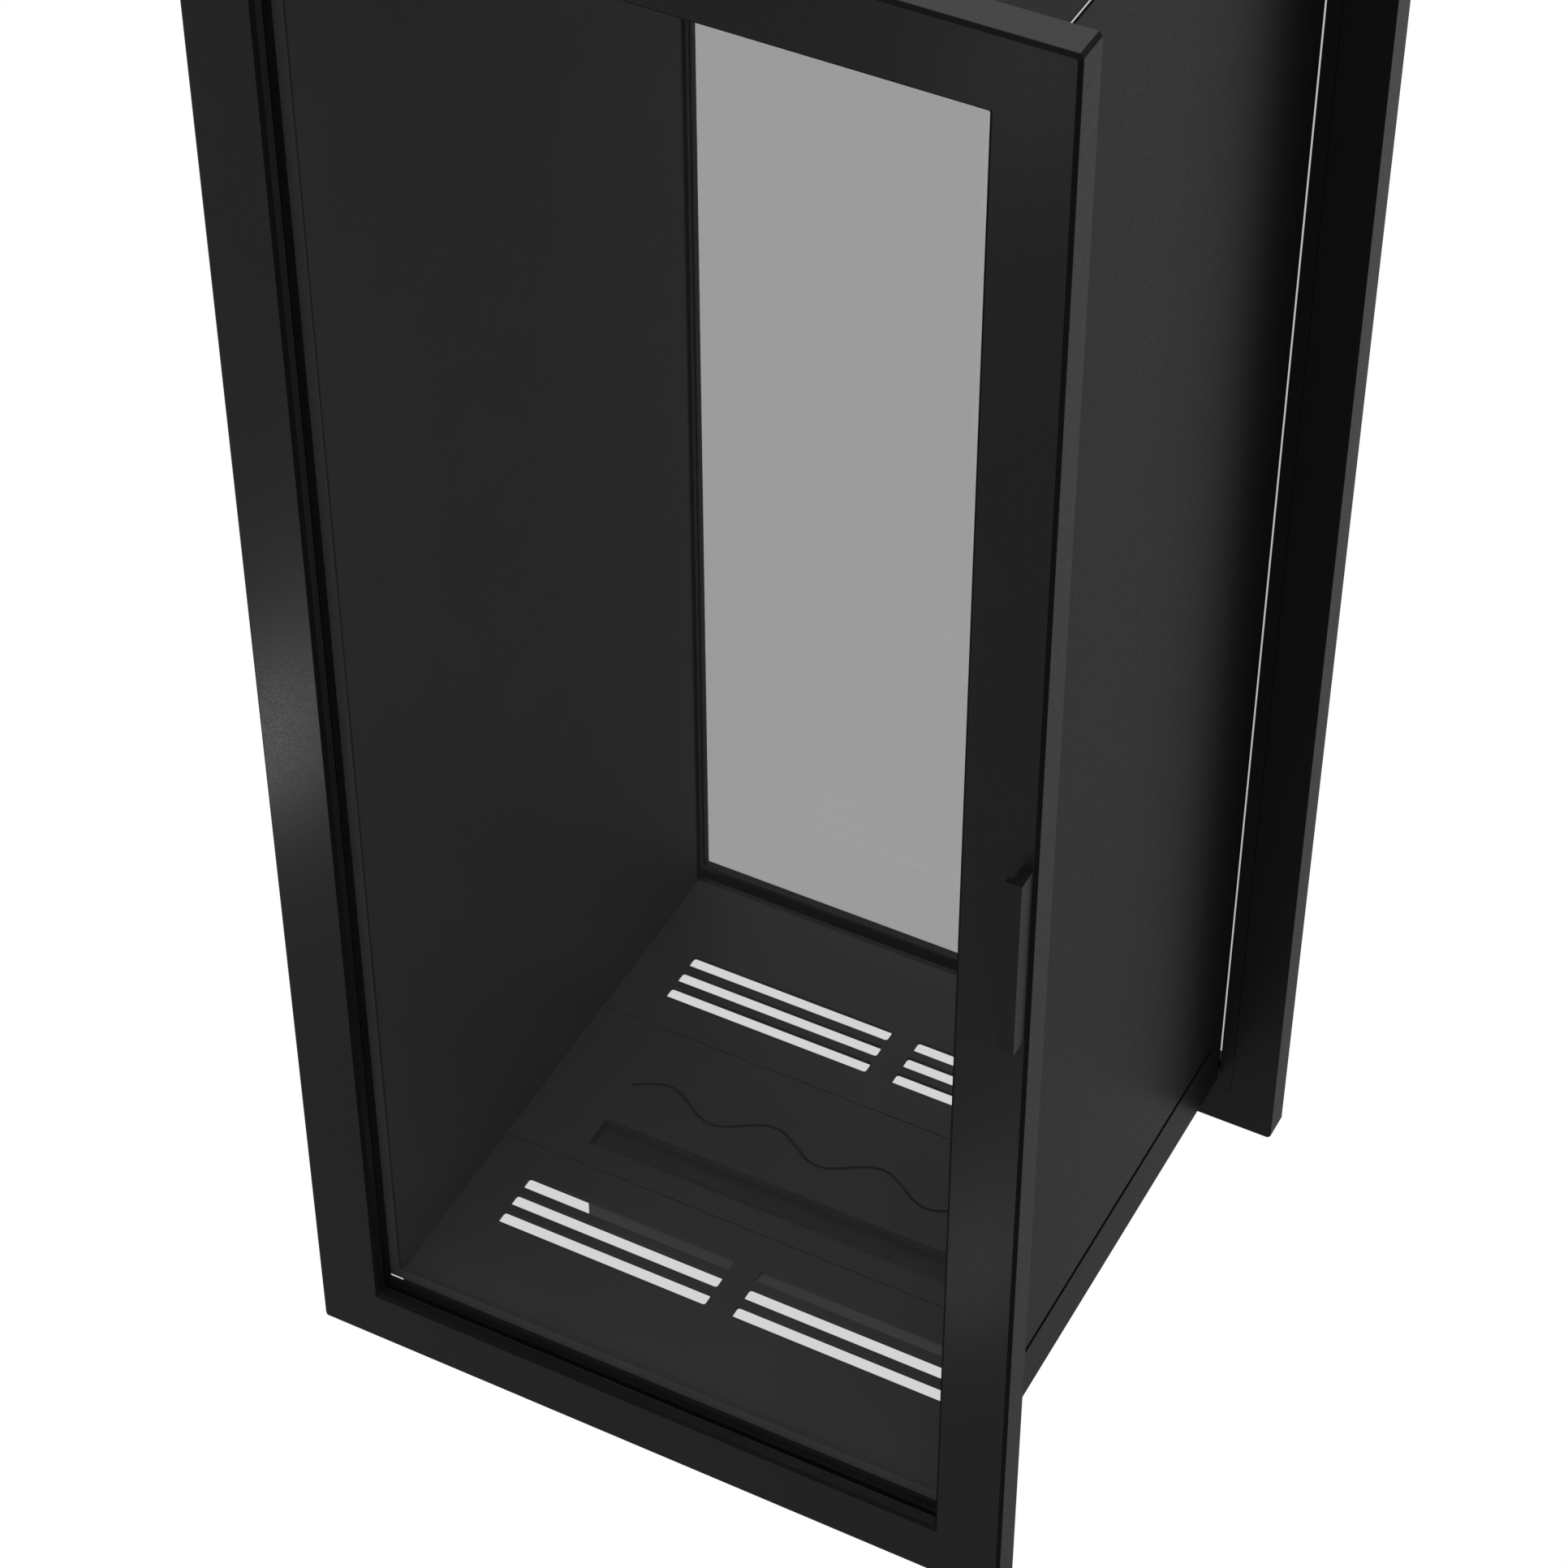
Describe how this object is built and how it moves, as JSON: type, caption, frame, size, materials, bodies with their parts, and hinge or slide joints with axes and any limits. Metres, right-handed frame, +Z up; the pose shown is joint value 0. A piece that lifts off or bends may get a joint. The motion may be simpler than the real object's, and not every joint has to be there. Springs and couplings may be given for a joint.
{
  "type": "telephone booth",
  "caption": "Indoor telephone booth: a glazed portal that is the whole door and a glazed rear portal, joined by a narrower sheet-metal cabin with a vented floor and a fan unit below",
  "frame": {"origin": "on the ground, at the middle of the booth's outer box, door handle included", "axes": "+X to the right of a person facing the door, +Y into the booth, +Z up"},
  "size_m": [0.9404, 0.8956, 2.21],
  "materials": {
    "frame_coat": "satin black powder coat with a fine grain",
    "panel_coat": "satin black powder coat with a fine grain",
    "floor_coat": "matt black powder coat",
    "unit_steel": "matt dark grey paint",
    "glass": "clear, slightly grey laminated glass",
    "seal_rubber": "matt black rubber",
    "lining_board": "acoustic board with a satin black skin of fine grain",
    "zinc_steel": "zinc-plated steel",
    "black_plastic": "matt black plastic",
    "white_diffuser": "white opal plastic"
  },
  "bodies": {
    "booth": {"base_beam_front": "panel_coat", "base_beam_rear": "panel_coat", "base_rail_left": "panel_coat", "base_rail_right": "panel_coat", "ceiling_lining": "lining_board", "door_seal": "seal_rubber", "fan_frame_left": "black_plastic", "fan_frame_right": "black_plastic", "floor_panel_front": "floor_coat", "floor_panel_rear": "floor_coat", "hinge_leaf_body_bottom": "zinc_steel", "hinge_leaf_body_middle": "zinc_steel", "hinge_leaf_body_top": "zinc_steel", "hinge_pin_bottom": "zinc_steel", "hinge_pin_middle": "zinc_steel", "hinge_pin_top": "zinc_steel", "levelling_foot_front_left": "black_plastic", "levelling_foot_front_right": "black_plastic", "levelling_foot_rear_left": "black_plastic", "levelling_foot_rear_right": "black_plastic", "light_diffuser": "white_diffuser", "light_housing": "unit_steel", "magnetic_catch": "black_plastic", "power_inlet": "black_plastic", "power_supply": "zinc_steel", "rear_glass": "glass", "rear_glass_gasket": "seal_rubber", "rear_glazing_bead": "frame_coat", "rear_rail_bottom": "frame_coat", "rear_rail_top": "frame_coat", "rear_stile_left": "frame_coat", "rear_stile_right": "frame_coat", "rear_tie_left": "panel_coat", "rear_tie_right": "panel_coat", "roof_bracket_front_left": "zinc_steel", "roof_bracket_front_right": "zinc_steel", "roof_bracket_rear_left": "zinc_steel", "roof_bracket_rear_right": "zinc_steel", "roof_panel": "panel_coat", "side_lining_left": "lining_board", "side_lining_right": "lining_board", "side_panel_left": "panel_coat", "side_panel_right": "panel_coat", "ventilation_tray": "unit_steel"},
    "door": {"door_stile_left": "frame_coat", "door_stile_right": "frame_coat", "door_rail_top": "frame_coat", "door_rail_bottom": "frame_coat", "door_glass": "glass", "door_glass_gasket": "seal_rubber", "door_glazing_bead": "frame_coat", "door_handle": "frame_coat", "hinge_leaf_door_bottom": "zinc_steel", "hinge_leaf_door_middle": "zinc_steel", "hinge_leaf_door_top": "zinc_steel", "catch_plate": "zinc_steel"},
    "hatch": {"floor_hatch": "floor_coat", "hatch_trough": "floor_coat"},
    "fan_left": {"fan_impeller_left": "black_plastic"},
    "fan_right": {"fan_impeller_right": "black_plastic"}
  },
  "joints": [
    {"name": "door_hinge", "type": "hinge", "parent": "booth", "child": "door", "pos_m": [-0.4102, -0.36615, 0], "axis": [0, 0, -1], "range_deg": [0, 95]},
    {"name": "hatch_lift", "type": "slide", "parent": "booth", "child": "hatch", "axis": [0, 0, 1], "range_m": [0, 0.12]},
    {"name": "fan_left_spin", "type": "hinge", "parent": "booth", "child": "fan_left", "pos_m": [-0.155, 0.01335, 0.022], "axis": [0, 0, 1], "continuous": true},
    {"name": "fan_right_spin", "type": "hinge", "parent": "booth", "child": "fan_right", "pos_m": [0.155, 0.01335, 0.022], "axis": [0, 0, 1], "continuous": true}
  ]
}
